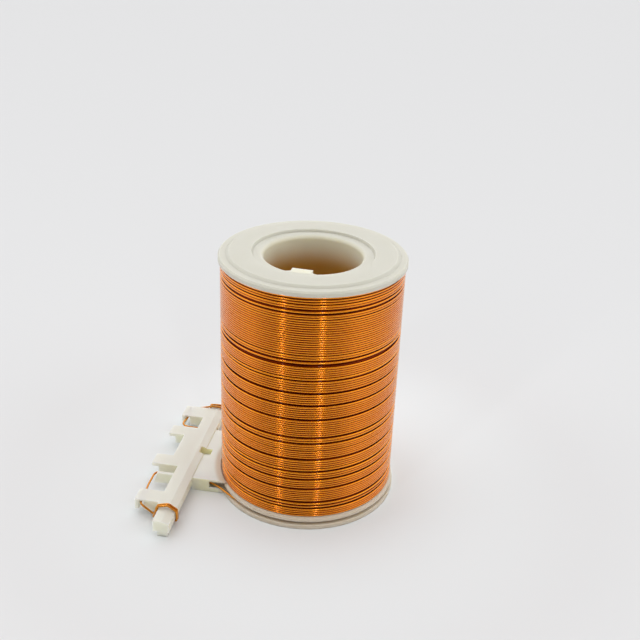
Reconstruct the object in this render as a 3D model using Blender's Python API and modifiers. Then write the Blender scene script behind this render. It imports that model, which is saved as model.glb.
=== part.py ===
# Bobbin wound coil: a one piece moulded nylon bobbin with a terminal strip on its
# lower flange, wound with one enamelled copper wire whose two ends are led through
# the strip and wrapped round its end pegs.
# Metres, +Z up along the bore. The strip lies towards -X and runs along Y.

import math

import bmesh
import bpy
from mathutils import Matrix

MM = 0.001

# Bobbin: turned forms
COIL_HEIGHT = 48.2 * MM
FLANGE_RADIUS = 17.0 * MM
BORE_RADIUS = 8.9 * MM
BARREL_WALL = 1.2 * MM
BARREL_FILLET = 0.35 * MM
UPPER_RIM_THICKNESS = 1.0 * MM
LOWER_RIM_THICKNESS = 0.9 * MM
RIM_ROUNDING = 0.3 * MM
SHOULDER_HEIGHT = 0.42 * MM
SHOULDER_SLOPE = 0.55 * MM
LEDGE_WIDTH = 1.4 * MM
RECESS_RADIUS = 11.1 * MM
RECESS_DEPTH = 0.5 * MM
RECESS_SLOPE = 0.25 * MM
BASE_LIP = 0.2 * MM
BASE_THICKNESS = 0.9 * MM
GROOVE_HEIGHT = 0.62 * MM
GROOVE_DEPTH = 2.1 * MM

# Key along the bore
KEY_WIDTH = 3.65 * MM
KEY_PROJECTION = 1.45 * MM
KEY_ANGLE = math.radians(-94.3)

# Winding. After the turns listed, a wider groove shows between two wires.
WIRE_DIAMETER = 0.46 * MM
WIRE_PITCH = 0.48 * MM
WINDING_DEPTH = 6.25 * MM
TURN_GROOVE = 0.2 * MM
WIDE_GROOVE = 0.34 * MM
WIDE_GROOVE_TURNS = (3, 4, 25, 27, 32, 37, 43, 49, 56, 59, 66, 71, 75, 79, 85, 88)
FIT_GAP = 0.3 * MM

# Terminal strip: the bar stands off the flange's edge, and the plate joins the two
PLATE_THICKNESS = 2.75 * MM
PLATE_FRONT_Y = -9.5 * MM
PLATE_BACK_Y = 7.8 * MM
PLATE_OVERLAP = 0.15 * MM
STRIP_STANDOFF = 3.6 * MM
STRIP_TOP_Z = 3.4 * MM
STRIP_UNDERSIDE_Z = 1.15 * MM
BAR_WIDTH = 3.6 * MM
BAR_EDGE_DROP = 0.5 * MM
BAR_EDGE_WIDTH = 1.4 * MM
BRIDGE_REACH = 1.9 * MM
POCKET_OFFSET = 0.2 * MM
POCKET_Y = -0.4 * MM
POCKET_WIDTH = 2.3 * MM
POCKET_LENGTH = 2.1 * MM
POCKET_DEPTH = 1.2 * MM

# Slotted anchor blocks, along the bar from the plate
ANCHOR_REACH = 4.65 * MM
ANCHOR_LIP = 0.7 * MM
ANCHOR_ROOF = 0.35 * MM
ANCHOR_FRONT_GAP = 6.1 * MM
ANCHOR_FRONT_LENGTH = 3.3 * MM
ANCHOR_BACK_GAP = 3.2 * MM
ANCHOR_BACK_LENGTH = 3.9 * MM

# End pegs, and the foot under the front one
PEG_STEP = 0.6 * MM
PEG_FRONT_OFFSET = 0.7 * MM
PEG_FRONT_LENGTH = 4.9 * MM
PEG_BACK_LENGTH = 2.0 * MM
FOOT_LEFT_INSET = 0.7 * MM
FOOT_RIGHT_INSET = 0.4 * MM
FOOT_LENGTH = 2.4 * MM
FOOT_END_INSET = 0.25 * MM

# Hook posts with overhanging caps
HOOK_REACH = 5.2 * MM
CAP_OVERHANG = 1.3 * MM
CAP_THICKNESS = 0.7 * MM
HOOK_FRONT_INSET = 2.3 * MM
HOOK_FRONT_LENGTH = 3.3 * MM
HOOK_BACK_INSET = 1.05 * MM
HOOK_BACK_LENGTH = 3.05 * MM

# Turning fin for the front lead
FIN_REACH = 3.15 * MM
FIN_TAPER = 0.75 * MM
FIN_OFFSET = 0.8 * MM
FIN_THICKNESS = 0.65 * MM

# Wire channels and slots, open at the underside
CHANNEL_WIDTH = 1.0 * MM
CHANNEL_TOP_Z = 2.35 * MM
FRONT_CHANNEL_INSET = 1.05 * MM
BACK_CHANNEL_OFFSET = 1.1 * MM
NOTCH_REACH = 0.3 * MM
NOTCH_DEPTH = 1.5 * MM

# Slots through the lower rim, for the two leads
RIM_SLOT_WIDTH = 1.1 * MM
RIM_SLOT_LENGTH = 4.5 * MM
RIM_SLOT_INSET = 1.25 * MM
FINISH_SLOT_ANGLE = math.radians(118.0)
START_SLOT_ANGLE = math.radians(-112.0)
START_CHANNEL_DEPTH = 0.62 * MM

# Leads: clearance round each peg, and how far each wrap turn steps along it. The front
# wrap bows up off its peg.
WRAP_GAP = 0.06 * MM
WRAP_INSET = 0.3 * MM
FRONT_WRAP_BOW = 0.5 * MM
FRONT_WRAP_STEP = 0.49 * MM
FRONT_WRAP_CORNERS = 10
BACK_WRAP_STEP = 0.8 * MM
BACK_WRAP_CORNERS = 8

# Mesh fineness
SPOOL_STEPS = 56
WINDING_STEPS = 24
ARC_STEPS = 10
CUT_MARGIN = 2.0 * MM
SHARP_ANGLE = math.radians(35)

# Worked out heights and radii
LOWER_FACE_Z = BASE_THICKNESS + GROOVE_HEIGHT + LOWER_RIM_THICKNESS
UPPER_LEDGE_Z = COIL_HEIGHT - SHOULDER_HEIGHT
UPPER_FACE_Z = UPPER_LEDGE_Z - UPPER_RIM_THICKNESS
BARREL_RADIUS = BORE_RADIUS + BARREL_WALL
WINDING_BOTTOM_Z = LOWER_FACE_Z + FIT_GAP
WINDING_TOP_Z = UPPER_FACE_Z - FIT_GAP
WIRE_RADIUS = WIRE_DIAMETER / 2

BASE_RADIUS = FLANGE_RADIUS + BASE_LIP
WINDING_INNER_RADIUS = BARREL_RADIUS + FIT_GAP
WINDING_RADIUS = WINDING_INNER_RADIUS + WINDING_DEPTH
RIM_SLOT_RADIUS = FLANGE_RADIUS - RIM_SLOT_INSET
GROOVE_MIDDLE_Z = BASE_THICKNESS + GROOVE_HEIGHT / 2
STRIP_MIDDLE_Z = (STRIP_UNDERSIDE_Z + STRIP_TOP_Z) / 2

# Worked out places along X
BAR_RIGHT_X = -(FLANGE_RADIUS + STRIP_STANDOFF)
BAR_LEFT_X = BAR_RIGHT_X - BAR_WIDTH
BAR_MIDDLE_X = (BAR_LEFT_X + BAR_RIGHT_X) / 2
BRIDGE_X = BAR_LEFT_X - BRIDGE_REACH
PEG_LEFT_X = BAR_LEFT_X + PEG_STEP
ANCHOR_LEFT_X = BAR_LEFT_X - ANCHOR_REACH
ANCHOR_SLOT_X = ANCHOR_LEFT_X + ANCHOR_LIP + CHANNEL_WIDTH / 2
HOOK_LEFT_X = BAR_LEFT_X - HOOK_REACH
FIN_TOP_LEFT_X = BAR_LEFT_X - FIN_REACH
FIN_LEFT_X = FIN_TOP_LEFT_X - FIN_TAPER
NOTCH_LEFT_X = -(FLANGE_RADIUS + NOTCH_REACH)

# Worked out places along Y
FIN_FRONT_Y = PLATE_FRONT_Y - FIN_OFFSET
FIN_BACK_Y = FIN_FRONT_Y + FIN_THICKNESS
ANCHOR_FRONT_INNER_Y = PLATE_FRONT_Y - ANCHOR_FRONT_GAP
ANCHOR_FRONT_OUTER_Y = ANCHOR_FRONT_INNER_Y - ANCHOR_FRONT_LENGTH
ANCHOR_BACK_INNER_Y = PLATE_BACK_Y + ANCHOR_BACK_GAP
ANCHOR_BACK_OUTER_Y = ANCHOR_BACK_INNER_Y + ANCHOR_BACK_LENGTH
PEG_FRONT_START_Y = ANCHOR_FRONT_OUTER_Y - PEG_FRONT_OFFSET
PEG_FRONT_Y = PEG_FRONT_START_Y - PEG_FRONT_LENGTH
PEG_BACK_Y = ANCHOR_BACK_OUTER_Y + PEG_BACK_LENGTH
HOOK_FRONT_Y = PLATE_FRONT_Y + HOOK_FRONT_INSET
HOOK_BACK_Y = PLATE_BACK_Y - HOOK_BACK_INSET
FRONT_CHANNEL_Y = PLATE_FRONT_Y + FRONT_CHANNEL_INSET
BACK_CHANNEL_Y = PLATE_BACK_Y + BACK_CHANNEL_OFFSET
FRONT_WRAP_Y = PEG_FRONT_START_Y - WRAP_INSET
BACK_WRAP_Y = ANCHOR_BACK_OUTER_Y + WRAP_INSET

# The row's origin is the middle of the part's box, so the bore's axis stands off it
AXIS_X = -(HOOK_LEFT_X + BASE_RADIUS) / 2
AXIS_Y = -(PEG_FRONT_Y + max(PEG_BACK_Y, BASE_RADIUS)) / 2


def make_collection(name):
    collection = bpy.data.collections.new(name)
    bpy.context.scene.collection.children.link(collection)
    return collection


def make_material(name, colour, roughness, metallic=0.0):
    material = bpy.data.materials.new(name)
    material.use_nodes = True
    shader = material.node_tree.nodes["Principled BSDF"]
    shader.inputs["Base Color"].default_value = (*colour, 1.0)
    shader.inputs["Roughness"].default_value = roughness
    shader.inputs["Metallic"].default_value = metallic
    return material


def hide_as_guide(item):
    item.hide_render = True
    item.display_type = "WIRE"


def mesh_object(name, mesh, collection):
    item = bpy.data.objects.new(name, mesh)
    collection.objects.link(item)
    return item


def box(name, collection, x_range, y_range, z_range):
    mesh = bpy.data.meshes.new(name)
    shape = bmesh.new()
    bmesh.ops.create_cube(shape, size=1.0)
    size = [high - low for low, high in (x_range, y_range, z_range)]
    middle = [(low + high) / 2 for low, high in (x_range, y_range, z_range)]
    bmesh.ops.scale(shape, vec=size, verts=shape.verts)
    bmesh.ops.translate(shape, vec=middle, verts=shape.verts)
    shape.to_mesh(mesh)
    shape.free()
    return mesh_object(name, mesh, collection)


def curve_to_mesh(item, collection):
    depsgraph = bpy.context.evaluated_depsgraph_get()
    mesh = bpy.data.meshes.new_from_object(item.evaluated_get(depsgraph))
    shape = bmesh.new()
    shape.from_mesh(mesh)
    bmesh.ops.remove_doubles(shape, verts=shape.verts, dist=0.000001)
    bmesh.ops.recalc_face_normals(shape, faces=shape.faces)
    shape.to_mesh(mesh)
    shape.free()
    solid = mesh_object(item.name + "_solid", mesh, collection)
    solid.matrix_world = item.matrix_world
    bpy.data.objects.remove(item)
    return solid


def prism(name, collection, outline, z_low, z_high):
    """A flat outline raised from z_low to z_high."""
    curve = bpy.data.curves.new(name, "CURVE")
    curve.dimensions = "2D"
    curve.fill_mode = "BOTH"
    curve.extrude = (z_high - z_low) / 2
    spline = curve.splines.new("POLY")
    spline.points.add(len(outline) - 1)
    for point, (x, y) in zip(spline.points, outline):
        point.co = (x, y, 0.0, 1.0)
    spline.use_cyclic_u = True
    item = mesh_object(name, curve, collection)
    item.location.z = (z_low + z_high) / 2
    bpy.context.view_layer.update()
    return curve_to_mesh(item, collection)


def prism_along_y(name, collection, section, y_low, y_high):
    """A section in the XZ plane, drawn out from y_low to y_high."""
    item = prism(name, collection, section, -y_high, -y_low)
    item.data.transform(Matrix.Translation(item.location))
    item.location = (0.0, 0.0, 0.0)
    item.rotation_euler.x = math.radians(90)
    return item


def turned(name, collection, profile, steps):
    """A closed profile in the XZ plane, turned about Z. It runs down its outer side."""
    mesh = bpy.data.meshes.new(name)
    edges = [(i, (i + 1) % len(profile)) for i in range(len(profile))]
    mesh.from_pydata([(r, 0.0, z) for r, z in profile], edges, [])
    item = mesh_object(name, mesh, collection)
    screw = item.modifiers.new("turn", "SCREW")
    screw.axis = "Z"
    screw.steps = steps
    screw.render_steps = steps
    screw.use_merge_vertices = True
    screw.merge_threshold = 0.000001
    return item


def combine(item, tool, operation):
    hide_as_guide(tool)
    step = item.modifiers.new(operation.lower() + "_" + tool.name, "BOOLEAN")
    step.operation = operation
    step.object = tool
    step.solver = "EXACT"


def spool_profile():
    """The turned blank. Its bore is undersize, and the keyed bore is cut afterwards."""
    blank_bore_radius = (BORE_RADIUS - KEY_PROJECTION) / 2
    recess_floor_z = COIL_HEIGHT - RECESS_DEPTH
    ledge_inner = FLANGE_RADIUS - LEDGE_WIDTH
    groove_radius = FLANGE_RADIUS - GROOVE_DEPTH
    groove_top_z = BASE_THICKNESS + GROOVE_HEIGHT
    return [
        (blank_bore_radius, recess_floor_z),
        (RECESS_RADIUS - RECESS_SLOPE, recess_floor_z),
        (RECESS_RADIUS, COIL_HEIGHT),
        (ledge_inner - SHOULDER_SLOPE, COIL_HEIGHT),
        (ledge_inner, UPPER_LEDGE_Z),
        (FLANGE_RADIUS - RIM_ROUNDING, UPPER_LEDGE_Z),
        (FLANGE_RADIUS, UPPER_LEDGE_Z - RIM_ROUNDING),
        (FLANGE_RADIUS, UPPER_FACE_Z),
        (BARREL_RADIUS + BARREL_FILLET, UPPER_FACE_Z),
        (BARREL_RADIUS, UPPER_FACE_Z - BARREL_FILLET),
        (BARREL_RADIUS, LOWER_FACE_Z + BARREL_FILLET),
        (BARREL_RADIUS + BARREL_FILLET, LOWER_FACE_Z),
        (FLANGE_RADIUS - RIM_ROUNDING, LOWER_FACE_Z),
        (FLANGE_RADIUS, LOWER_FACE_Z - RIM_ROUNDING),
        (FLANGE_RADIUS, groove_top_z),
        (groove_radius, groove_top_z),
        (groove_radius, BASE_THICKNESS),
        (BASE_RADIUS, BASE_THICKNESS),
        (BASE_RADIUS, 0.0),
        (RECESS_RADIUS, 0.0),
        (RECESS_RADIUS - RECESS_SLOPE, RECESS_DEPTH),
        (blank_bore_radius, RECESS_DEPTH),
    ]


def strip_outline():
    """Plan of the bar with its pegs, anchor blocks, hooks and fin."""
    return [
        (BAR_RIGHT_X, PEG_FRONT_Y),
        (BAR_RIGHT_X, PEG_BACK_Y),
        (PEG_LEFT_X, PEG_BACK_Y),
        (PEG_LEFT_X, ANCHOR_BACK_OUTER_Y),
        (ANCHOR_LEFT_X, ANCHOR_BACK_OUTER_Y),
        (ANCHOR_LEFT_X, ANCHOR_BACK_INNER_Y),
        (BAR_LEFT_X, ANCHOR_BACK_INNER_Y),
        (BAR_LEFT_X, HOOK_BACK_Y),
        (HOOK_LEFT_X, HOOK_BACK_Y),
        (HOOK_LEFT_X, HOOK_BACK_Y - HOOK_BACK_LENGTH),
        (BRIDGE_X, HOOK_BACK_Y - HOOK_BACK_LENGTH),
        (BRIDGE_X, HOOK_FRONT_Y + HOOK_FRONT_LENGTH),
        (HOOK_LEFT_X, HOOK_FRONT_Y + HOOK_FRONT_LENGTH),
        (HOOK_LEFT_X, HOOK_FRONT_Y),
        (BAR_LEFT_X, HOOK_FRONT_Y),
        (BAR_LEFT_X, FIN_BACK_Y),
        (FIN_LEFT_X, FIN_BACK_Y),
        (FIN_LEFT_X, FIN_FRONT_Y),
        (BAR_LEFT_X, FIN_FRONT_Y),
        (BAR_LEFT_X, ANCHOR_FRONT_INNER_Y),
        (ANCHOR_LEFT_X, ANCHOR_FRONT_INNER_Y),
        (ANCHOR_LEFT_X, ANCHOR_FRONT_OUTER_Y),
        (BAR_LEFT_X, ANCHOR_FRONT_OUTER_Y),
        (BAR_LEFT_X, PEG_FRONT_START_Y),
        (PEG_LEFT_X, PEG_FRONT_START_Y),
        (PEG_LEFT_X, PEG_FRONT_Y),
    ]


def arc(radius, start, end, steps):
    angles = [start + (end - start) * i / steps for i in range(steps + 1)]
    return [(radius * math.cos(angle), radius * math.sin(angle)) for angle in angles]


def plate_outline():
    """The plate runs from the lower rim to the bar, and its inner edge follows the rim."""
    inner_radius = FLANGE_RADIUS - PLATE_OVERLAP
    back_angle = math.pi - math.asin(PLATE_BACK_Y / inner_radius)
    front_angle = math.pi - math.asin(PLATE_FRONT_Y / inner_radius)
    plate_left_x = BAR_RIGHT_X - PLATE_OVERLAP
    return arc(inner_radius, back_angle, front_angle, ARC_STEPS) + [
        (plate_left_x, PLATE_FRONT_Y),
        (plate_left_x, PLATE_BACK_Y),
    ]


def keyed_bore_outline():
    """The bore's circle, with the key left standing in it."""
    half_angle = math.asin(KEY_WIDTH / 2 / BORE_RADIUS)
    circle = arc(BORE_RADIUS, KEY_ANGLE + half_angle, KEY_ANGLE + 2 * math.pi - half_angle, SPOOL_STEPS)
    key_face_radius = BORE_RADIUS - KEY_PROJECTION
    cos_key = math.cos(KEY_ANGLE)
    sin_key = math.sin(KEY_ANGLE)
    for side in (-KEY_WIDTH / 2, KEY_WIDTH / 2):
        x = key_face_radius * cos_key - side * sin_key
        y = key_face_radius * sin_key + side * cos_key
        circle.append((x, y))
    return circle


def winding_profile():
    turns = round((WINDING_TOP_Z - WINDING_BOTTOM_Z) / WIRE_PITCH)
    pitch = (WINDING_TOP_Z - WINDING_BOTTOM_Z) / turns
    profile = [(WINDING_RADIUS - TURN_GROOVE, WINDING_TOP_Z)]
    for turn in range(1, turns + 1):
        groove = WIDE_GROOVE if turn in WIDE_GROOVE_TURNS else TURN_GROOVE
        valley_z = WINDING_TOP_Z - turn * pitch
        profile.append((WINDING_RADIUS, valley_z + pitch / 2))
        profile.append((WINDING_RADIUS - groove, valley_z))
    return profile + [(WINDING_INNER_RADIUS, WINDING_BOTTOM_Z), (WINDING_INNER_RADIUS, WINDING_TOP_Z)]


def make_strip(guides):
    """Plate and bar as one solid, before it joins the spool."""
    strip = prism("strip", guides, strip_outline(), STRIP_UNDERSIDE_Z, STRIP_TOP_Z)
    plate = prism("plate", guides, plate_outline(), 0.0, PLATE_THICKNESS)
    notch = box(
        "notch", guides,
        (NOTCH_LEFT_X, NOTCH_LEFT_X / 2),
        (PLATE_FRONT_Y - CUT_MARGIN, PLATE_FRONT_Y + NOTCH_DEPTH),
        (BASE_THICKNESS, CHANNEL_TOP_Z),
    )
    combine(plate, notch, "DIFFERENCE")
    cut_sloped_edge(strip, guides)
    cut_hooks(strip, guides)
    cut_fin_end(strip, guides)
    combine(strip, plate, "UNION")
    add_foot(strip, guides)
    cut_channels(strip, guides)
    cut_pocket(strip, guides)
    return strip


def cut_sloped_edge(strip, guides):
    slope = BAR_EDGE_DROP / BAR_EDGE_WIDTH
    section = [
        (BAR_RIGHT_X - BAR_EDGE_WIDTH, STRIP_TOP_Z),
        (BAR_RIGHT_X + CUT_MARGIN, STRIP_TOP_Z - slope * (BAR_EDGE_WIDTH + CUT_MARGIN)),
        (BAR_RIGHT_X + CUT_MARGIN, STRIP_TOP_Z + CUT_MARGIN),
        (BAR_RIGHT_X - BAR_EDGE_WIDTH, STRIP_TOP_Z + CUT_MARGIN),
    ]
    edge = prism_along_y("sloped_edge", guides, section, PEG_FRONT_Y - CUT_MARGIN, PEG_BACK_Y + CUT_MARGIN)
    combine(strip, edge, "DIFFERENCE")


def cut_hooks(strip, guides):
    """Below its cap, each hook stands back as a post."""
    margin = CUT_MARGIN / 2
    hooks = (
        ("front", HOOK_FRONT_Y - margin, HOOK_FRONT_Y + HOOK_FRONT_LENGTH + margin),
        ("back", HOOK_BACK_Y - HOOK_BACK_LENGTH - margin, HOOK_BACK_Y + margin),
    )
    for name, front_y, back_y in hooks:
        undercut = box(
            name + "_hook_undercut", guides,
            (HOOK_LEFT_X - CUT_MARGIN, HOOK_LEFT_X + CAP_OVERHANG),
            (front_y, back_y),
            (STRIP_UNDERSIDE_Z - CUT_MARGIN, STRIP_TOP_Z - CAP_THICKNESS),
        )
        combine(strip, undercut, "DIFFERENCE")


def cut_fin_end(strip, guides):
    """The fin's free end leans back towards its top."""
    height = STRIP_TOP_Z - STRIP_UNDERSIDE_Z
    lean = FIN_TAPER / height * CUT_MARGIN
    section = [
        (FIN_LEFT_X - lean, STRIP_UNDERSIDE_Z - CUT_MARGIN),
        (FIN_TOP_LEFT_X + lean, STRIP_TOP_Z + CUT_MARGIN),
        (FIN_LEFT_X - CUT_MARGIN, STRIP_TOP_Z + CUT_MARGIN),
        (FIN_LEFT_X - CUT_MARGIN, STRIP_UNDERSIDE_Z - CUT_MARGIN),
    ]
    end = prism_along_y("fin_end", guides, section, FIN_FRONT_Y - FIN_THICKNESS, FIN_BACK_Y + FIN_THICKNESS)
    combine(strip, end, "DIFFERENCE")


def add_foot(strip, guides):
    """A small foot under the front peg's end keeps the strip level with the base."""
    front_y = PEG_FRONT_Y + FOOT_END_INSET
    x_range = (PEG_LEFT_X + FOOT_LEFT_INSET, BAR_RIGHT_X - FOOT_RIGHT_INSET)
    foot = box("front_foot", guides, x_range, (front_y, front_y + FOOT_LENGTH), (0.0, STRIP_MIDDLE_Z))
    combine(strip, foot, "UNION")


def cut_channels(strip, guides):
    """The leads' ways: across the strip, and along through both anchor blocks."""
    left_x = BAR_LEFT_X - CUT_MARGIN / 2
    below_z = -CUT_MARGIN
    half_width = CHANNEL_WIDTH / 2
    slot_x = (ANCHOR_SLOT_X - half_width, ANCHOR_SLOT_X + half_width)
    slot_z = (below_z, STRIP_TOP_Z - ANCHOR_ROOF)
    cuts = [
        ("front_channel", (left_x, NOTCH_LEFT_X + CUT_MARGIN), FRONT_CHANNEL_Y, (below_z, CHANNEL_TOP_Z)),
        ("back_channel", (left_x, BAR_RIGHT_X + CUT_MARGIN), BACK_CHANNEL_Y, (below_z, CHANNEL_TOP_Z)),
    ]
    for name, x_range, middle_y, z_range in cuts:
        channel = box(name, guides, x_range, (middle_y - half_width, middle_y + half_width), z_range)
        combine(strip, channel, "DIFFERENCE")
    margin = CUT_MARGIN / 2
    anchors = (
        ("front", (ANCHOR_FRONT_OUTER_Y - margin, ANCHOR_FRONT_INNER_Y + margin)),
        ("back", (ANCHOR_BACK_INNER_Y - margin, ANCHOR_BACK_OUTER_Y + margin)),
    )
    for name, y_range in anchors:
        slot = box(name + "_anchor_slot", guides, slot_x, y_range, slot_z)
        combine(strip, slot, "DIFFERENCE")


def cut_pocket(strip, guides):
    middle_x = BAR_RIGHT_X + POCKET_OFFSET
    pocket = box(
        "pocket", guides,
        (middle_x - POCKET_WIDTH / 2, middle_x + POCKET_WIDTH / 2),
        (POCKET_Y - POCKET_LENGTH / 2, POCKET_Y + POCKET_LENGTH / 2),
        (PLATE_THICKNESS - POCKET_DEPTH, STRIP_TOP_Z + CUT_MARGIN),
    )
    combine(strip, pocket, "DIFFERENCE")


def cut_lead_ways(spool, guides):
    """Slots through the lower rim into its groove, and the start lead's radial channel."""
    slot_x = (RIM_SLOT_RADIUS - RIM_SLOT_WIDTH / 2, RIM_SLOT_RADIUS + RIM_SLOT_WIDTH / 2)
    slot_y = (-RIM_SLOT_LENGTH / 2, RIM_SLOT_LENGTH / 2)
    slot_z = (GROOVE_MIDDLE_Z, LOWER_FACE_Z + CUT_MARGIN)
    for name, angle in (("start", start_slot_middle()), ("finish", FINISH_SLOT_ANGLE)):
        slot = box(name + "_slot", guides, slot_x, slot_y, slot_z)
        slot.rotation_euler.z = angle
        combine(spool, slot, "DIFFERENCE")
    channel = box(
        "start_channel", guides,
        (BARREL_RADIUS + BARREL_FILLET, RIM_SLOT_RADIUS),
        (-CHANNEL_WIDTH / 2, CHANNEL_WIDTH / 2),
        (LOWER_FACE_Z - START_CHANNEL_DEPTH, LOWER_FACE_Z + CUT_MARGIN),
    )
    channel.rotation_euler.z = START_SLOT_ANGLE
    combine(spool, channel, "DIFFERENCE")


def start_slot_middle():
    """The start channel runs into the slot's end that lies away from the strip."""
    return START_SLOT_ANGLE - (RIM_SLOT_LENGTH - CHANNEL_WIDTH) / 2 / RIM_SLOT_RADIUS


def make_bobbin(parts, guides, nylon):
    bobbin = turned("bobbin", parts, spool_profile(), SPOOL_STEPS)
    keyed_bore = prism("keyed_bore", guides, keyed_bore_outline(), -CUT_MARGIN, COIL_HEIGHT + CUT_MARGIN)
    combine(bobbin, keyed_bore, "DIFFERENCE")
    combine(bobbin, make_strip(guides), "UNION")
    cut_lead_ways(bobbin, guides)
    bobbin.data.materials.append(nylon)
    return bobbin


def make_winding(parts, enamelled_copper):
    winding = turned("winding", parts, winding_profile(), WINDING_STEPS)
    winding.data.materials.append(enamelled_copper)
    return winding


def polar(radius, angle, z):
    return (radius * math.cos(angle), radius * math.sin(angle), z)


def by_slot(slot_angle, share, radius, z):
    """A point near a rim slot, at a share of the slot's length from its middle."""
    return polar(radius, slot_angle + share * RIM_SLOT_LENGTH / RIM_SLOT_RADIUS, z)


def beside(place, x_wires, y_wires, z_wires):
    """A point set off from a place by so many wire diameters."""
    return tuple(value + wires * WIRE_DIAMETER for value, wires in zip(place, (x_wires, y_wires, z_wires)))


def smooth(route, steps):
    """A Catmull-Rom curve through the route's points."""
    padded = [route[0]] + list(route) + [route[-1]]
    points = []
    for i in range(len(route) - 1):
        before, start, end, after = padded[i:i + 4]
        for k in range(steps):
            t = k / steps
            weights = (
                (-t + 2 * t ** 2 - t ** 3) / 2,
                (2 - 5 * t ** 2 + 3 * t ** 3) / 2,
                (t + 4 * t ** 2 - 3 * t ** 3) / 2,
                (-t ** 2 + t ** 3) / 2,
            )
            corners = (before, start, end, after)
            points.append(tuple(sum(w * c[axis] for w, c in zip(weights, corners)) for axis in range(3)))
    return points + [tuple(route[-1])]


def wrap(bow, start_y, step_y, corner_count, clockwise):
    """Points round a peg, seen along +Y: an arc about each corner, stepping along the peg.
    Each corner has its arc in quarter turns, and its share of the wire's bow."""
    slope = math.atan2(BAR_EDGE_DROP, BAR_EDGE_WIDTH) / (math.pi / 2)
    corners = [
        (PEG_LEFT_X, STRIP_UNDERSIDE_Z, 2, 3, 0),
        (BAR_RIGHT_X, STRIP_UNDERSIDE_Z, 3, 4, 0),
        (BAR_RIGHT_X, STRIP_TOP_Z - BAR_EDGE_DROP, 0, 1 - slope, 0),
        (BAR_RIGHT_X - BAR_EDGE_WIDTH, STRIP_TOP_Z, 1 - slope, 1, 1),
        (PEG_LEFT_X, STRIP_TOP_Z, 1, 2, 0.3),
    ]
    if clockwise:
        corners = [(x, z, last, first, share) for x, z, first, last, share in reversed(corners)]
    points = []
    for i in range(corner_count):
        x, z, first, last, share = corners[i % len(corners)]
        radius = WIRE_RADIUS + WRAP_GAP + bow * share
        y = start_y + step_y * i / len(corners)
        steps = 2 if abs(last - first) > 0.5 else 1
        for k in range(steps + 1):
            angle = (first + (last - first) * k / steps) * math.pi / 2
            points.append((x + radius * math.cos(angle), y, z + radius * math.sin(angle)))
    return points


def start_route():
    """The inner end: out of the winding, down into the groove, across the plate to the front peg."""
    wire = WIRE_DIAMETER
    slot_angle = start_slot_middle()
    channel_z = LOWER_FACE_Z - START_CHANNEL_DEPTH / 2
    notch = (NOTCH_LEFT_X, FRONT_CHANNEL_Y, GROOVE_MIDDLE_Z)
    under_bar = (BAR_MIDDLE_X, FRONT_CHANNEL_Y, CHANNEL_TOP_Z)
    fin_end = (FIN_LEFT_X, FIN_FRONT_Y, STRIP_MIDDLE_Z)
    slot_mouth = (ANCHOR_SLOT_X, ANCHOR_FRONT_INNER_Y, STRIP_MIDDLE_Z)
    slot_end = (ANCHOR_SLOT_X, ANCHOR_FRONT_OUTER_Y, STRIP_MIDDLE_Z)
    peg = (PEG_LEFT_X, FRONT_WRAP_Y, STRIP_UNDERSIDE_Z)
    to_peg = [
        polar(BARREL_RADIUS + BARREL_FILLET + wire, START_SLOT_ANGLE, channel_z),
        polar((BARREL_RADIUS + RIM_SLOT_RADIUS) / 2, START_SLOT_ANGLE, channel_z),
        polar(RIM_SLOT_RADIUS - RIM_SLOT_WIDTH / 2, START_SLOT_ANGLE, channel_z),
        by_slot(slot_angle, 0.27, RIM_SLOT_RADIUS, channel_z - WIRE_RADIUS),
        by_slot(slot_angle, 0.02, RIM_SLOT_RADIUS, GROOVE_MIDDLE_Z + 0.7 * wire),
        by_slot(slot_angle, -0.28, RIM_SLOT_RADIUS + 0.2 * wire, GROOVE_MIDDLE_Z),
        by_slot(slot_angle, -0.71, FLANGE_RADIUS - 1.3 * wire, GROOVE_MIDDLE_Z),
        by_slot(slot_angle, -1.13, FLANGE_RADIUS, GROOVE_MIDDLE_Z),
        beside(notch, 5, -2.5, 0.2),
        beside(notch, 0, -0.2, 0.6),
        beside(under_bar, 6.1, 0, -1.25),
        beside(under_bar, 0.4, 0, -1),
        beside(under_bar, -4.8, 0, -0.8),
        beside(fin_end, 2, 4.1, 0),
        beside(fin_end, -0.2, 2.8, 0.1),
        beside(fin_end, -0.4, -0.2, 0.1),
        beside(fin_end, -0.4, -4.6, 0.1),
        beside(slot_mouth, -1.1, 3, 0.2),
        beside(slot_mouth, -0.45, -0.65, 0.55),
        beside(slot_end, -0.3, 1.1, 0.9),
        beside(slot_end, 0.65, -0.85, 0.55),
        beside(peg, -5.4, 0.75, 1.5),
        beside(peg, -3, 0.3, 0.1),
    ]
    turns = wrap(FRONT_WRAP_BOW, FRONT_WRAP_Y, -FRONT_WRAP_STEP, FRONT_WRAP_CORNERS, False)
    peg_top = (PEG_LEFT_X, turns[-1][1], STRIP_TOP_Z)
    end = [
        beside(peg_top, -1.2, 0, -1.3),
        beside(peg_top, -1.85, 0.1, -3),
        beside(peg_top, -2.5, 0.5, -4.5),
        beside(peg_top, -2.8, 0.9, -5.4),
    ]
    return smooth(to_peg, 2) + turns[1:] + end


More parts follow.
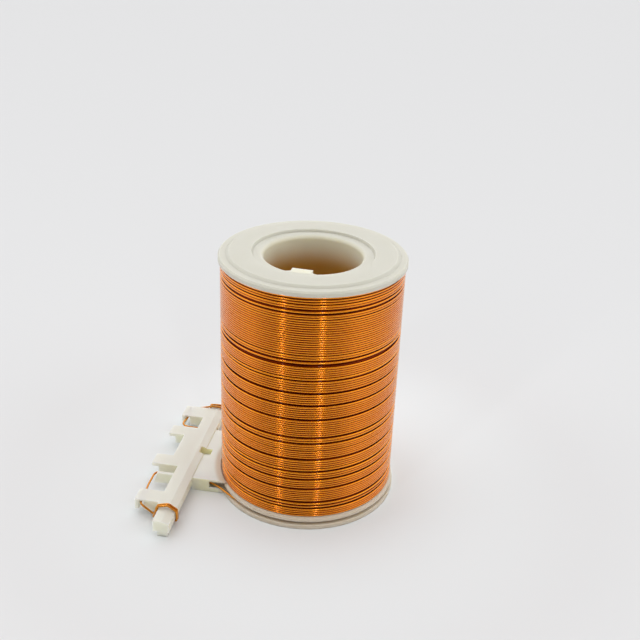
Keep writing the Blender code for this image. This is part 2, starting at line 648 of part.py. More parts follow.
def finish_route():
    """The outer end: down through the rim, behind the plate and under the bar to the back peg."""
    wire = WIRE_DIAMETER
    slot_angle = FINISH_SLOT_ANGLE
    flange_side = (-FLANGE_RADIUS, BACK_CHANNEL_Y, GROOVE_MIDDLE_Z)
    under_bar = (BAR_MIDDLE_X, BACK_CHANNEL_Y, CHANNEL_TOP_Z)
    slot_mouth = (ANCHOR_SLOT_X, ANCHOR_BACK_INNER_Y, STRIP_MIDDLE_Z)
    slot_end = (ANCHOR_SLOT_X, ANCHOR_BACK_OUTER_Y, STRIP_MIDDLE_Z)
    peg = (PEG_LEFT_X, BACK_WRAP_Y, STRIP_TOP_Z)
    to_peg = [
        by_slot(slot_angle, -0.4, RIM_SLOT_RADIUS, LOWER_FACE_Z - WIRE_RADIUS / 2),
        by_slot(slot_angle, -0.2, RIM_SLOT_RADIUS, GROOVE_MIDDLE_Z + 1.8 * wire),
        by_slot(slot_angle, 0.06, RIM_SLOT_RADIUS, GROOVE_MIDDLE_Z + 0.75 * wire),
        by_slot(slot_angle, 0.37, RIM_SLOT_RADIUS, GROOVE_MIDDLE_Z),
        by_slot(slot_angle, 0.79, FLANGE_RADIUS - 1.75 * wire, GROOVE_MIDDLE_Z),
        by_slot(slot_angle, 1.23, FLANGE_RADIUS + WIRE_RADIUS, GROOVE_MIDDLE_Z),
        by_slot(slot_angle, 1.65, FLANGE_RADIUS + 3.3 * wire, GROOVE_MIDDLE_Z + 0.3 * wire),
        beside(flange_side, -1.3, 1.5, 0.8),
        beside(under_bar, 5.2, 0.1, -1.3),
        beside(under_bar, 0.4, 0, -1.1),
        beside(under_bar, -4.8, 0, -0.85),
        beside(under_bar, -9.6, -0.4, -0.55),
        beside(slot_mouth, -0.75, -4.3, 0.2),
        beside(slot_mouth, -0.65, -2.2, 0.75),
        beside(slot_mouth, 0, 0.9, 0.95),
        beside(slot_mouth, 0, 4.3, 0.95),
        beside(slot_end, 0, -0.65, 1),
        beside(slot_end, 0.2, 0.6, 1.05),
        beside(slot_end, 1.3, 0.95, 1.1),
        beside(peg, -4.3, 0.15, -0.8),
        beside(peg, -1.95, 0.05, 0),
    ]
    turns = wrap(0, BACK_WRAP_Y, BACK_WRAP_STEP, BACK_WRAP_CORNERS, True)
    end = [beside(turns[-1], 0, 0, -1.5), beside(turns[-1], 0, 0, -3)]
    return smooth(to_peg, 2) + turns[1:] + end


def make_lead(name, route, parts, enamelled_copper):
    curve = bpy.data.curves.new(name, "CURVE")
    curve.dimensions = "3D"
    curve.bevel_depth = WIRE_RADIUS
    curve.bevel_resolution = 2
    curve.use_fill_caps = True
    spline = curve.splines.new("POLY")
    spline.points.add(len(route) - 1)
    for point, place in zip(spline.points, route):
        point.co = (*place, 1.0)
    lead = mesh_object(name, curve, parts)
    curve.materials.append(enamelled_copper)
    return lead


def settle(item):
    """Fixes the modifiers into the mesh, so that its sharp edges can be marked by angle."""
    mesh = bpy.data.meshes.new_from_object(item.evaluated_get(bpy.context.evaluated_depsgraph_get()))
    item.modifiers.clear()
    item.data = mesh
    mesh.shade_smooth()
    mesh.set_sharp_from_angle(angle=SHARP_ANGLE)


def main():
    for item in list(bpy.data.objects):
        bpy.data.objects.remove(item)
    parts = make_collection("bobbin_wound_coil")
    guides = make_collection("cutters")
    nylon = make_material("natural_nylon", (0.74, 0.71, 0.61), 0.42)
    enamelled_copper = make_material("enamelled_copper", (0.55, 0.2, 0.03), 0.3, metallic=0.8)
    bobbin = make_bobbin(parts, guides, nylon)
    make_winding(parts, enamelled_copper)
    make_lead("start_lead", start_route(), parts, enamelled_copper)
    make_lead("finish_lead", finish_route(), parts, enamelled_copper)
    settle(bobbin)

    bore_axis = bpy.data.objects.new("bore_axis", None)
    bpy.context.scene.collection.objects.link(bore_axis)
    bore_axis.location = (AXIS_X, AXIS_Y, 0.0)
    for item in list(parts.objects) + list(guides.objects):
        item.parent = bore_axis


main()
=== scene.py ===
import math
import random

import bmesh
import bpy
import numpy as np
from mathutils import Matrix, Vector


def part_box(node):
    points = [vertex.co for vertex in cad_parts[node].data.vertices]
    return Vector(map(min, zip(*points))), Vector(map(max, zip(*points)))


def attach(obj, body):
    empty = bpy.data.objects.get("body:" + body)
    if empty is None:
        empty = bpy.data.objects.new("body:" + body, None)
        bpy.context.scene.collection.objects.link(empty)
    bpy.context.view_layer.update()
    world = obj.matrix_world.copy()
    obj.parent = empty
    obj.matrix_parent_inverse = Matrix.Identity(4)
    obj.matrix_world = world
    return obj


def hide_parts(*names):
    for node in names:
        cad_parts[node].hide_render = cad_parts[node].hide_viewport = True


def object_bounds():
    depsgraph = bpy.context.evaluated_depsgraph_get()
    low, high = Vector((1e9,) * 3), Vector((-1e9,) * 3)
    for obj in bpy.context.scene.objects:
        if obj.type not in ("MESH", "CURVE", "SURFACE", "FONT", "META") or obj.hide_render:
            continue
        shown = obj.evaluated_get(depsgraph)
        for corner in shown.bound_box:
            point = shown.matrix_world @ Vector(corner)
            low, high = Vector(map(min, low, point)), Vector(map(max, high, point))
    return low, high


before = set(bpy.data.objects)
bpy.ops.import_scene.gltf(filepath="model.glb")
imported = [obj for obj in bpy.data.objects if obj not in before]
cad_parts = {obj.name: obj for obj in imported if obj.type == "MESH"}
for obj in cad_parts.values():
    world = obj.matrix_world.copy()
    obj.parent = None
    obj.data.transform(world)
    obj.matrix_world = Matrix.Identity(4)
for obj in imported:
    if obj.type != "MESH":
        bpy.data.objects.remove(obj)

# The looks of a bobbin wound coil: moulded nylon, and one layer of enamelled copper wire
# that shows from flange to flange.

MM = 0.001
FULL_TURN = 2.0 * math.pi
CAD_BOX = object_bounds()

# Where the winding is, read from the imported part
WINDING_LOW, WINDING_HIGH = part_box("winding")
AXIS_X = (WINDING_LOW[0] + WINDING_HIGH[0]) / 2
AXIS_Y = (WINDING_LOW[1] + WINDING_HIGH[1]) / 2
WINDING_RADIUS = (WINDING_HIGH[0] - WINDING_LOW[0]) / 2
WINDING_BOTTOM_Z = WINDING_LOW[2]
WINDING_TOP_Z = WINDING_HIGH[2]
COIL_HEIGHT = CAD_BOX[1][2]

# Camera, from the photograph's perspective. It is placed from the winding's axis. Its lens
# and sensor are in mm, and its roll is in radians.
CAMERA_OFFSET_X = 24.36 * MM
CAMERA_OFFSET_Y = -153.7 * MM
CAMERA_HEIGHT = 110.6 * MM
CAMERA_AZIMUTH = math.radians(8.4)
CAMERA_ELEVATION = math.radians(26.04)
CAMERA_ROLL = 0.0405
CAMERA_LENS = 52.88
CAMERA_SENSOR = 36.0
CAMERA_CLIP_START = 0.01
CAMERA_CLIP_END = 20.0

# Wire of the outer layer. CAD_GAP is what the CAD's winding keeps from each flange, and
# END_GAP is what this wire keeps. SQUEEZE is the share of a wire by which a bundle of turns
# may be pressed together.
WIRE_DIAMETER = 0.4 * MM
WIRE_SIDES = 8
STEPS_PER_TURN = 72
CAD_GAP = 0.3 * MM
END_GAP = 0.03 * MM
SQUEEZE = 0.05

# The wire crosses from turn to turn at END_ANGLE, at the back, where it also ends: its last
# stretch, the tail, dips down and inwards. Turns lean about FRONT_ANGLE.
END_ANGLE = math.radians(110.0)
FRONT_ANGLE = math.radians(-81.0)
CROSSING_TURNS = 0.22
CROSSING_SHIFT = 0.05
TAIL_TURNS = 0.035
TAIL_DROP = 0.25 * MM
TAIL_INSET = 0.55 * MM

# The turns are uneven by a few slow waves along the wire
RANDOM_SEED = 5
WAVE_COUNT = 5
WAVE_HEIGHT = 0.012 * MM
WAVE_RATES = (0.5, 6.0)
WAVE_PHASES = (0.0, 6.28)

# Open gaps that part the turns into bundles, from the top down. Each has its height at the
# front, its width, and how far the bundle below it leans up towards the right, in mm.
OPEN_GAPS = (
    (46.24, 0.08, 0.0), (45.77, 0.06, -0.04), (45.27, 0.16, 0.0), (44.33, 0.16, 0.07),
    (43.42, 0.1, 0.0), (42.53, 0.08, -0.06), (35.8, 0.12, 0.0), (34.85, 0.14, 0.08),
    (33.8, 0.42, 0.04), (31.5, 0.14, 0.12), (30.93, 0.3, 0.0), (28.44, 0.4, 0.09),
    (26.0, 0.38, 0.16), (23.13, 0.38, 0.17), (19.44, 0.38, 0.22), (18.21, 0.38, 0.23),
    (16.8, 0.08, 0.24), (14.9, 0.42, 0.25), (12.9, 0.12, 0.33), (12.27, 0.32, 0.25),
    (10.58, 0.34, 0.25), (8.52, 0.38, 0.24), (5.67, 0.34, 0.12), (4.22, 0.22, 0.0),
)
# A gap of this width, in mm, leaves the shoulder of the turn below it wholly open, without
# painted groove shade
OPEN_SHOULDER = 0.15

# The layer below, a ring with a groove at the upper end of each turn.
# LAYER_GROOVE_SHARE says how far into its turn a groove lies.
LAYER_DROP = 0.55 * MM
LAYER_THICKNESS = 1.0 * MM
LAYER_STEPS = 64
LAYER_GROOVE = 0.12 * MM
LAYER_GROOVE_SHARE = 0.02

# Points of a copied CAD mesh that are nearer than this become one
MERGE_DISTANCE = 0.002 * MM

# Moulded edges and the bore's upper rim
FLAT_ANGLE = math.radians(0.6)
EDGE_ANGLE = math.radians(32)
SHARP_ANGLE = math.radians(60)
EDGE_ROUNDING = 0.22 * MM
EDGE_ROUNDING_STEPS = 3
BORE_RADIUS = 8.9 * MM
BORE_TOLERANCE = 0.1 * MM
BORE_RIM_DEPTH = 3.0 * MM
BORE_ROUNDING = 0.8 * MM
BORE_ROUNDING_STEPS = 5

# Leads. The two angles, in radians, say which of the CAD's triangles become quads.
LEAD_FACE_ANGLE = 0.7
LEAD_SHAPE_ANGLE = 3.1
LEAD_SLIMMING = 0.01 * MM
LEAD_SUBDIVISIONS = 2

# Zones of the moulding, each from where it begins to where it is full. They are radii from
# the axis and heights, and WALL_ZONE is how far a face looks up or down, from 0 to 1.
WINDING_ZONE = (18.4 * MM, 17.3 * MM)
PLATE_ZONE = (23.5 * MM, 20.5 * MM)
BORE_ZONE = (9.6 * MM, 8.9 * MM)
BASE_ZONE = (3.4 * MM, 2.6 * MM)
BELOW_TOP_ZONE = (COIL_HEIGHT - 1.6 * MM, COIL_HEIGHT - 7.0 * MM)
ABOVE_BOTTOM_ZONE = (1.5 * MM, 4.0 * MM)
WALL_ZONE = (0.75, 0.25)

# Colours of the moulding. Besides the nylon's own tones, they are painted light and shade.
WHITE = (1.0, 1.0, 1.0)
NYLON_PALE = (0.81, 0.82, 0.75)
NYLON_CREAM = (0.79, 0.795, 0.72)
# Painted shade over the flanges and all else within the winding's radius
FLANGE_PAINTED_SHADE = (0.835, 0.81, 0.775)
# Painted light on the plate and bar beside the coil, lighter and greener than the rest
PLATE_PAINTED_LIGHT = (0.87, 0.93, 0.85)
# Painted glow on walls beside the winding, yellower than the tops as if lit through the nylon,
# deepest yellow on the plate's shaded front wall
STRIP_WALL_PAINTED_GLOW = (0.88, 0.88, 0.74)
PLATE_WALL_PAINTED_GLOW = (0.92, 0.9, 0.6)
# Painted shade, warmed by painted copper light, on the lower flange under the winding
BASE_PAINTED_SHADE = (0.71, 0.61, 0.48)
# Painted light in the bore, lighter and yellower than the shaded flanges
BORE_PAINTED_LIGHT = (0.85, 0.83, 0.68)
# Painted shade and painted copper glow deeper in the bore, where the winding lies behind its
# thin wall
BORE_PAINTED_SHADE_AND_COPPER_GLOW = (0.52, 0.27, 0.045)

# Scale and strength of the fine relief, and the tones of the copper
BUMP_DEPTH = 0.02 * MM
CLOUD_SCALE = 160.0
GRAIN_SCALE = 2600.0
GRAIN_STRENGTH = 0.12
DENT_SCALE = 600.0
DENT_STRENGTH = 0.3
TONE_SCALE = 1.7
TONE_ZONE = (0.3, 0.7)
GROOVE_ZONE = (0.5, 0.95)

# Floor, paler in a zone round the object: painted light that keeps its shadow faint
FLOOR_SIZE = 4.0
FLOOR_COLOUR = (0.775, 0.778, 0.785)
FLOOR_PAINTED_LIGHT = (0.87, 0.905, 0.92)
FLOOR_NEAR_ZONE = (60 * MM, 22 * MM)

# World. Its zones say how far a direction points to one side, from -1 to 1.
WORLD_STRENGTH = 0.97
RIGHT_COLOUR = (0.8, 0.8, 0.81)
LEFT_COLOUR = (0.82, 0.82, 0.83)
OVERHEAD_COLOUR = (1.34, 1.34, 1.34)
FRONT_COLOUR = (0.03, 0.015, 0.01)
LEFT_ZONE = (0.6, -0.9)
OVERHEAD_ZONE = (0.06, 0.64)
FRONT_ZONE = (0.27, 0.7)
ABOVE_HORIZON_ZONE = (0.07, 0.16)

# Two tall lamps, whose reflections are the two streaks on the winding. Each has its name,
# its place and width in metres, and its power in watts.
LAMP_HEIGHT = 0.22
LAMPS = (
    ("left_lamp", (-0.202, -0.422, 0.30), 0.022, 0.17),
    ("right_lamp", (0.205, -0.46, 0.30), 0.028, 0.19),
)


def new_material(name):
    material = bpy.data.materials.new(name)
    material.use_nodes = True
    shader = material.node_tree.nodes["Principled BSDF"]
    return material, material.node_tree, shader


def new_node(tree, kind, **values):
    item = tree.nodes.new(kind)
    for key, value in values.items():
        setattr(item, key, value)
    return item


def feed(tree, value, socket):
    """Gives a socket a link, a colour or a number."""
    if isinstance(value, bpy.types.NodeSocket):
        tree.links.new(value, socket)
    elif isinstance(value, tuple):
        socket.default_value = (*value, 1.0)
    else:
        socket.default_value = value


def set_sockets(item, values):
    for name, value in values.items():
        item.inputs[name].default_value = value


def math_node(tree, operation, *values):
    item = new_node(tree, "ShaderNodeMath", operation=operation)
    for socket, value in zip(item.inputs, values):
        feed(tree, value, socket)
    return item.outputs[0]


def times(tree, first, second):
    return math_node(tree, "MULTIPLY", first, second)


def ramp_between(tree, value, begin, full):
    """0 where the value is at begin, 1 where it is at full, and smooth between them."""
    item = new_node(tree, "ShaderNodeMapRange", interpolation_type="SMOOTHSTEP")
    tree.links.new(value, item.inputs["Value"])
    set_sockets(item, {"From Min": begin, "From Max": full})
    return item.outputs["Result"]


def mix_colour(tree, factor, first, second, blend="MIX"):
    item = new_node(tree, "ShaderNodeMix", data_type="RGBA", blend_type=blend)
    for name, value in (("Factor", factor), ("A", first), ("B", second)):
        feed(tree, value, item.inputs[name])
    return item.outputs["Result"]


def separate(tree, vector):
    item = new_node(tree, "ShaderNodeSeparateXYZ")
    tree.links.new(vector, item.inputs[0])
    return item.outputs["X"], item.outputs["Y"], item.outputs["Z"]


def noise(tree, place, scale, detail, dimensions="3D"):
    """Noise over a place in space, or along a single value where dimensions is 1D."""
    item = new_node(tree, "ShaderNodeTexNoise", noise_dimensions=dimensions)
    tree.links.new(place, item.inputs["W" if dimensions == "1D" else "Vector"])
    set_sockets(item, {"Scale": scale, "Detail": detail})
    return item.outputs["Fac"]


def bump(tree, height, strength):
    item = new_node(tree, "ShaderNodeBump")
    set_sockets(item, {"Strength": strength, "Distance": BUMP_DEPTH})
    tree.links.new(height, item.inputs["Height"])
    return item.outputs["Normal"]


def object_place(tree):
    return new_node(tree, "ShaderNodeTexCoord").outputs["Object"]


def mesh_attribute(tree, name):
    return new_node(tree, "ShaderNodeAttribute", attribute_name=name).outputs["Fac"]


def nylon_colour(tree, place):
    """Random cream tones, with painted shade on the flanges and at the base, painted light on
    the plate, a painted glow on walls and in the bore, and painted shade and copper glow deeper
    in the bore."""
    x, y, z = separate(tree, place)
    from_x = math_node(tree, "SUBTRACT", x, AXIS_X)
    from_y = math_node(tree, "SUBTRACT", y, AXIS_Y)
    squares = math_node(tree, "ADD", times(tree, from_x, from_x), times(tree, from_y, from_y))
    radius = math_node(tree, "SQRT", squares)
    normal = new_node(tree, "ShaderNodeNewGeometry").outputs["Normal"]
    normal_z = math_node(tree, "ABSOLUTE", separate(tree, normal)[2])

    on_winding = ramp_between(tree, radius, *WINDING_ZONE)
    beside_winding = math_node(tree, "SUBTRACT", 1.0, on_winding)
    on_plate = ramp_between(tree, radius, *PLATE_ZONE)
    on_wall = ramp_between(tree, normal_z, *WALL_ZONE)
    on_base = ramp_between(tree, z, *BASE_ZONE)
    in_bore = ramp_between(tree, radius, *BORE_ZONE)
    below_top = ramp_between(tree, z, *BELOW_TOP_ZONE)
    above_bottom = ramp_between(tree, z, *ABOVE_BOTTOM_ZONE)
    # Where the bore gets painted shade and painted copper glow, between its ends
    painted_copper_glow_zone = times(tree, times(tree, in_bore, below_top), above_bottom)

    clouds = noise(tree, place, CLOUD_SCALE, detail=3.0)
    colour = mix_colour(tree, clouds, NYLON_PALE, NYLON_CREAM)
    # Painted shade over all within the winding's radius
    shade = mix_colour(tree, on_winding, WHITE, FLANGE_PAINTED_SHADE)
    colour = mix_colour(tree, 1.0, colour, shade, "MULTIPLY")
    # Painted glow on the walls, by how far they face sideways
    wall_painted_glow = mix_colour(tree, on_plate, STRIP_WALL_PAINTED_GLOW, PLATE_WALL_PAINTED_GLOW)
    # Painted light on the plate, painted glow on walls and in the bore, painted shade at the
    # base and deeper in the bore
    layers = (
        (times(tree, on_plate, beside_winding), PLATE_PAINTED_LIGHT),
        (times(tree, on_wall, beside_winding), wall_painted_glow),
        (times(tree, on_base, on_winding), BASE_PAINTED_SHADE),
        (in_bore, BORE_PAINTED_LIGHT),
        (painted_copper_glow_zone, BORE_PAINTED_SHADE_AND_COPPER_GLOW),
    )
    for factor, layer_colour in layers:
        colour = mix_colour(tree, factor, colour, layer_colour)
    return colour


def nylon_material():
    """Natural nylon: pale, a little translucent and finely grained."""
    material, tree, shader = new_material("natural_nylon")
    place = object_place(tree)
    tree.links.new(nylon_colour(tree, place), shader.inputs["Base Color"])
    grain = noise(tree, place, GRAIN_SCALE, detail=2.0)
    tree.links.new(bump(tree, grain, GRAIN_STRENGTH), shader.inputs["Normal"])
    set_sockets(shader, {
        "Roughness": 0.45,
        "IOR": 1.53,
        "Subsurface Weight": 1.0,
        "Subsurface Radius": (1.0, 1.0, 0.95),
        "Subsurface Scale": 1.0 * MM,
    })
    return material


def copper_material(name, light, dark, roughness, coat, groove=None):
    """Enamelled copper, a little uneven, with a tone that changes along the wire. Where
    turns lie side by side, the groove between them gets a painted shade."""
    material, tree, shader = new_material(name)
    along = mesh_attribute(tree, "along")
    tone = noise(tree, along, TONE_SCALE, detail=3.0, dimensions="1D")
    colour = mix_colour(tree, ramp_between(tree, tone, *TONE_ZONE), light, dark)
    if groove:
        # Painted shade in the grooves between turns, lifted on shoulders that a gap leaves open
        out_of_groove = ramp_between(tree, mesh_attribute(tree, "outward"), *GROOVE_ZONE)
        colour = mix_colour(tree, out_of_groove, groove, colour)
    tree.links.new(colour, shader.inputs["Base Color"])
    dents = noise(tree, object_place(tree), DENT_SCALE, detail=1.0)
    dented = bump(tree, dents, DENT_STRENGTH)
    tree.links.new(dented, shader.inputs["Normal"])
    tree.links.new(dented, shader.inputs["Coat Normal"])
    set_sockets(shader, {
        "Metallic": 1.0,
        "Roughness": roughness,
        "Coat Weight": coat,
        "Coat Roughness": 0.08,
        "Coat IOR": 1.34,
    })
    return material


def floor_material():
    """Pale paper, with painted light near the object, so that the shadow stays faint."""
    material, tree, shader = new_material("pale_floor")
    from_axis = new_node(tree, "ShaderNodeVectorMath", operation="DISTANCE")
    tree.links.new(object_place(tree), from_axis.inputs[0])
    from_axis.inputs[1].default_value = (AXIS_X, AXIS_Y, 0.0)
    near = ramp_between(tree, from_axis.outputs["Value"], *FLOOR_NEAR_ZONE)
    # Painted light near the object lightens its shadow
    colour = mix_colour(tree, near, FLOOR_COLOUR, FLOOR_PAINTED_LIGHT)
    tree.links.new(colour, shader.inputs["Base Color"])
    set_sockets(shader, {"Roughness": 0.9, "Specular IOR Level": 0.1})
    return material


def link(item):
    bpy.context.scene.collection.objects.link(item)
    return item


def mesh_from(name, points, faces):
    mesh = bpy.data.meshes.new(name)
    mesh.from_pydata([tuple(p) for p in points], [], faces)
    mesh.validate()
    return mesh


def add_attribute(mesh, name, values):
    attribute = mesh.attributes.new(name, "FLOAT", "POINT")
    attribute.data.foreach_set("value", values)


def smooth_step(values):
    values = np.clip(values, 0.0, 1.0)
    return values * values * (3.0 - 2.0 * values)


def lay_turns():
    """Each turn's height at the front, its lean, and how open the gap above it is."""
    start = WINDING_TOP_Z + CAD_GAP - END_GAP
    bottom = WINDING_BOTTOM_Z - CAD_GAP + END_GAP
    turns = []
    lean = 0.0
    opening = 0.0
    for middle, width, next_lean in OPEN_GAPS + ((bottom / MM, 0.0, 0.0),):
        space = start - (middle + width / 2) * MM
        count = max(1, int(space / WIRE_DIAMETER + SQUEEZE))
        pitch = space / count
        for i in range(count):
            open_above = opening if i == 0 else 0.0
            turns.append((start - (i + 0.5) * pitch, lean * MM, open_above))
        start -= space + width * MM
        opening = min(1.0, width / OPEN_SHOULDER)
        lean = next_lean
    return np.array(turns)


def wire_path():
    """The wire's turn, angle, height and open gap at each step of its way down. Each turn
    lies level, and crosses over to the next one at the back."""
    turns = lay_turns()
    count = len(turns)
    turn = np.linspace(0.0, count, count * STEPS_PER_TURN + 1)
    angle = END_ANGLE + (turn - count) * FULL_TURN
    rng = random.Random(RANDOM_SEED)
    shifts = np.array([rng.uniform(-CROSSING_SHIFT, CROSSING_SHIFT) for _ in range(count + 1)])
    nearest = np.round(turn).astype(int)
    crossing = smooth_step((turn - nearest - shifts[nearest]) / CROSSING_TURNS + 0.5)
    place = np.clip(nearest - 1 + crossing, 0.0, count - 1.0)
    height, lean, opening = (np.interp(place, np.arange(count), row) for row in turns.T)
    height += lean * np.sin(angle - FRONT_ANGLE)
    wave = np.zeros_like(turn)
    for _ in range(WAVE_COUNT):
        rate = rng.uniform(*WAVE_RATES)
        phase = rng.uniform(*WAVE_PHASES)
        wave += np.sin(turn * rate + phase) * WAVE_HEIGHT / WAVE_COUNT
    fade = np.clip(np.minimum(turn, count - turn), 0.0, 1.0)
    return turn, angle, height + wave * fade, opening


def wire_faces(rings):
    """The sides of a tube of so many rings, and its two ends."""
    faces = []
    for i in range(rings - 1):
        a = i * WIRE_SIDES
        b = a + WIRE_SIDES
        for k in range(WIRE_SIDES):
            k2 = (k + 1) % WIRE_SIDES
            faces.append((a + k, b + k, b + k2, a + k2))
    faces.append(tuple(range(WIRE_SIDES)))
    faces.append(tuple(reversed(range((rings - 1) * WIRE_SIDES, rings * WIRE_SIDES))))
    return faces


def make_outer_layer(material):
    """One wire, wound down the coil as a closed tube."""
    turn, angle, height, opening = wire_path()
    wire_radius = WIRE_DIAMETER / 2
    tail = smooth_step((turn - turn[-1]) / TAIL_TURNS + 1.0)
    radius = WINDING_RADIUS - wire_radius - TAIL_INSET * tail
    height = height - TAIL_DROP * tail
    side_angle = (np.arange(WIRE_SIDES) + 0.5) * FULL_TURN / WIRE_SIDES
    out = radius[:, None] + wire_radius * np.cos(side_angle)[None, :]
    z = height[:, None] + wire_radius * np.sin(side_angle)[None, :]
    x = AXIS_X + out * np.cos(angle)[:, None]
    y = AXIS_Y + out * np.sin(angle)[:, None]
    points = np.stack([x, y, z], axis=-1).reshape(-1, 3)
    mesh = mesh_from("outer_layer", points, wire_faces(len(turn)))
    add_attribute(mesh, "along", np.repeat(turn, WIRE_SIDES).astype(np.float32))
    # The painted groove shade ends where a gap leaves the upper shoulder of a turn open
    shoulder = np.where(np.sin(side_angle) > 0.0, 1.0, 0.0)
    outward = np.maximum(np.cos(side_angle)[None, :], opening[:, None] * shoulder[None, :])
    add_attribute(mesh, "outward", outward.ravel().astype(np.float32))
    mesh.shade_smooth()
    mesh.materials.append(material)
    return link(bpy.data.objects.new("outer_layer", mesh))


def layer_profile():
    """Radius and height of the inner layer's section, turn by turn and back inside."""
    crest = WINDING_RADIUS - LAYER_DROP
    inside = crest - LAYER_THICKNESS
    turns = round((WINDING_TOP_Z - WINDING_BOTTOM_Z) / WIRE_DIAMETER)
    pitch = (WINDING_TOP_Z - WINDING_BOTTOM_Z) / turns
    profile = [(inside, WINDING_TOP_Z)]
    for i in range(turns):
        z = WINDING_TOP_Z - i * pitch
        profile.append((crest - LAYER_GROOVE, z - LAYER_GROOVE_SHARE * pitch))
        profile.append((crest, z - pitch / 2))
    profile.append((crest - LAYER_GROOVE, WINDING_BOTTOM_Z))
    profile.append((inside, WINDING_BOTTOM_Z))
    return profile


def make_inner_layer(material):
    """The layer below, which shows in the gaps."""
    profile = layer_profile()
    count = len(profile)
    points = []
    faces = []
    for step in range(LAYER_STEPS):
        angle = FULL_TURN * step / LAYER_STEPS
        a = step * count
        b = (step + 1) % LAYER_STEPS * count
        for k, (radius, z) in enumerate(profile):
            k2 = (k + 1) % count
            x = AXIS_X + radius * math.cos(angle)
            y = AXIS_Y + radius * math.sin(angle)
            points.append((x, y, z))
            faces.append((a + k, a + k2, b + k2, b + k))
    mesh = mesh_from("inner_layer", points, faces)
    mesh.shade_smooth()
    mesh.set_sharp_from_angle(angle=SHARP_ANGLE)
    mesh.materials.append(material)
    return link(bpy.data.objects.new("inner_layer", mesh))


def copy_of_node(name, new_name):
    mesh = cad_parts[name].data.copy()
    mesh.name = new_name
    mesh.materials.clear()
    shape = bmesh.new()
    shape.from_mesh(mesh)
    bmesh.ops.remove_doubles(shape, verts=shape.verts, dist=MERGE_DISTANCE)
    shape.to_mesh(mesh)
    shape.free()
    return link(bpy.data.objects.new(new_name, mesh))


def is_near_bore_rim(vertex):
    radius = math.hypot(vertex.co.x - AXIS_X, vertex.co.y - AXIS_Y)
    if abs(radius - BORE_RADIUS) > BORE_TOLERANCE:
        return False
    return vertex.co.z >= COIL_HEIGHT - BORE_RIM_DEPTH


def round_bore_rim(shape):
    """Rounds the edge where the bore opens into the upper flange."""
    rim = []
    for edge in shape.edges:
        if all(map(is_near_bore_rim, edge.verts)) and edge.calc_face_angle(0.0) > SHARP_ANGLE:
            rim.append(edge)
    bmesh.ops.bevel(
        shape, geom=rim, offset=BORE_ROUNDING, segments=BORE_ROUNDING_STEPS, profile=0.5,
        affect="EDGES", clamp_overlap=True,
    )


def make_bobbin(material):
    """The moulding, with its edges rounded and its round faces shaded smooth."""
    bobbin = copy_of_node("bobbin", "moulded_bobbin")
    mesh = bobbin.data
    shape = bmesh.new()
    shape.from_mesh(mesh)
    bmesh.ops.dissolve_limit(shape, angle_limit=FLAT_ANGLE, verts=shape.verts, edges=shape.edges)
    round_bore_rim(shape)
    shape.to_mesh(mesh)
    shape.free()
    mesh.shade_smooth()
    mesh.set_sharp_from_angle(angle=EDGE_ANGLE)
    mesh.materials.append(material)
    edges = bobbin.modifiers.new("rounded_edges", "BEVEL")
    edges.width = EDGE_ROUNDING
    edges.segments = EDGE_ROUNDING_STEPS
    edges.limit_method = "ANGLE"
    edges.angle_limit = EDGE_ANGLE
    edges.harden_normals = True
    return bobbin


def make_lead(name, material):
    """A lead of the CAD, a hair slimmer and with smooth bends."""
    lead = copy_of_node(name, name + "_wire")
    mesh = lead.data
    shape = bmesh.new()
    shape.from_mesh(mesh)
    bmesh.ops.join_triangles(
        shape, faces=shape.faces, angle_face_threshold=LEAD_FACE_ANGLE,
        angle_shape_threshold=LEAD_SHAPE_ANGLE,
    )
    for vertex in shape.verts:
        vertex.co -= vertex.normal * LEAD_SLIMMING
    shape.to_mesh(mesh)
    shape.free()
    add_attribute(mesh, "along", [(v.co.x + v.co.y) / MM for v in mesh.vertices])
    mesh.shade_smooth()
    mesh.materials.append(material)
    bends = lead.modifiers.new("smooth_bends", "SUBSURF")
    bends.levels = LEAD_SUBDIVISIONS
    bends.render_levels = LEAD_SUBDIVISIONS
    return lead


def make_lamps():
    middle = Vector((AXIS_X, AXIS_Y, COIL_HEIGHT / 2))
    for name, place, width, power in LAMPS:
        light = bpy.data.lights.new(name, "AREA")
        light.shape = "RECTANGLE"
        light.size = width
        light.size_y = LAMP_HEIGHT
        light.energy = power
        lamp = link(bpy.data.objects.new(name, light))
        lamp.location = place
        lamp.rotation_euler = (middle - Vector(place)).to_track_quat("-Z", "Y").to_euler()


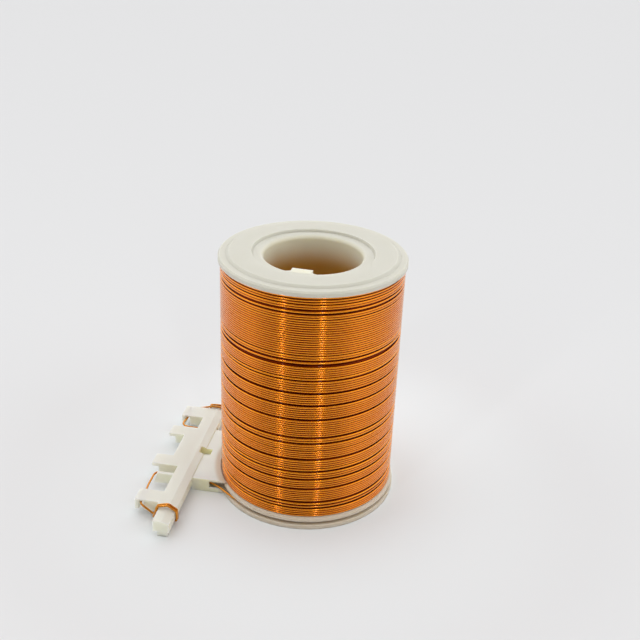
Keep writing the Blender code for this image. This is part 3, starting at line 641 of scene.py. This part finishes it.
def make_world():
    """Pale at the sides and bright overhead. In front, above the horizon, it is as dark as the
    room behind a camera, which gives the front of the copper its depth."""
    world = bpy.data.worlds.new("studio")
    bpy.context.scene.world = world
    world.use_nodes = True
    tree = world.node_tree
    background = tree.nodes["Background"]
    x, y, z = separate(tree, new_node(tree, "ShaderNodeTexCoord").outputs["Generated"])
    in_front = ramp_between(tree, times(tree, y, -1.0), *FRONT_ZONE)
    above_horizon = ramp_between(tree, z, *ABOVE_HORIZON_ZONE)
    sides = mix_colour(tree, ramp_between(tree, x, *LEFT_ZONE), RIGHT_COLOUR, LEFT_COLOUR)
    sky = mix_colour(tree, ramp_between(tree, z, *OVERHEAD_ZONE), sides, OVERHEAD_COLOUR)
    colour = mix_colour(tree, times(tree, in_front, above_horizon), sky, FRONT_COLOUR)
    tree.links.new(colour, background.inputs["Color"])
    background.inputs["Strength"].default_value = WORLD_STRENGTH


def make_camera():
    camera = link(bpy.data.objects.new("camera", bpy.data.cameras.new("camera")))
    camera.data.lens = CAMERA_LENS
    camera.data.sensor_width = CAMERA_SENSOR
    camera.data.clip_start = CAMERA_CLIP_START
    camera.data.clip_end = CAMERA_CLIP_END
    place = (AXIS_X + CAMERA_OFFSET_X, AXIS_Y + CAMERA_OFFSET_Y, CAMERA_HEIGHT)
    turn = Matrix.Rotation(CAMERA_AZIMUTH, 4, "Z")
    tilt = Matrix.Rotation(math.radians(90) - CAMERA_ELEVATION, 4, "X")
    roll = Matrix.Rotation(CAMERA_ROLL, 4, "Z")
    camera.matrix_world = Matrix.Translation(place) @ turn @ tilt @ roll
    bpy.context.scene.camera = camera


def make_floor():
    bpy.ops.mesh.primitive_plane_add(size=FLOOR_SIZE)
    floor = bpy.context.object
    floor.name = "floor"
    floor.data.materials.append(floor_material())


nylon = nylon_material()
# The winding's wire, whose groove colour is painted shade between turns
wire = copper_material(
    "enamelled_wire", light=(1.0, 0.335, 0.002), dark=(0.94, 0.29, 0.001), roughness=0.17,
    coat=0.9, groove=(0.5, 0.07, 0.001),
)
# The layer below, in copper darkened with painted shade, so that the gaps look deep
wire_below_painted_shade = copper_material(
    "wire_below_painted_shade", light=(0.27, 0.032, 0.001), dark=(0.2, 0.02, 0.001), roughness=0.4, coat=0.15,
)
lead_wire = copper_material(
    "lead_wire", light=(0.72, 0.28, 0.012), dark=(0.6, 0.21, 0.008), roughness=0.12, coat=0.9,
)

pieces = {
    "nylon": [make_bobbin(nylon)],
    "enamelled_copper": [
        make_outer_layer(wire),
        make_inner_layer(wire_below_painted_shade),
        make_lead("start_lead", lead_wire),
        make_lead("finish_lead", lead_wire),
    ],
}
stands_for = {
    "moulded_bobbin": "bobbin",
    "outer_layer": "winding",
    "inner_layer": "winding",
    "start_lead_wire": "start_lead",
    "finish_lead_wire": "finish_lead",
}
for slot_name, items in pieces.items():
    for item in items:
        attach(item, "root")
        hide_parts(stands_for[item.name])

make_floor()
make_world()
make_lamps()
make_camera()
bpy.context.scene.view_settings.view_transform = "Standard"
